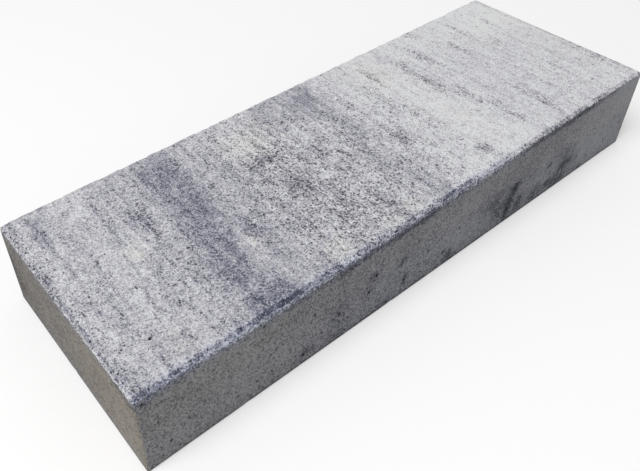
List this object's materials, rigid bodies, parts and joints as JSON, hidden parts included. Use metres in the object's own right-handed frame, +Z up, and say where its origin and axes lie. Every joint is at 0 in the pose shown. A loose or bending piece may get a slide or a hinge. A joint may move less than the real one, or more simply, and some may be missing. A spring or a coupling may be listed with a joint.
{
  "type": "concrete block step",
  "caption": "Solid rectangular concrete block step with a chamfered tread and a cloudy grey facing, laid on its bed as one tread and riser of an outdoor stair.",
  "frame": {"origin": "middle of the bed, the flat underside that lies on the ground", "axes": "+X along the length, +Y from the front riser to the back, +Z up from the bed to the tread"},
  "size_m": [1, 0.35, 0.15],
  "materials": {
    "concrete": "matt pressed concrete, cloudy blue-grey to near-white on the tread and plain grey on the sides"
  },
  "bodies": {
    "root": {"block_step": "concrete"}
  },
  "joints": []
}
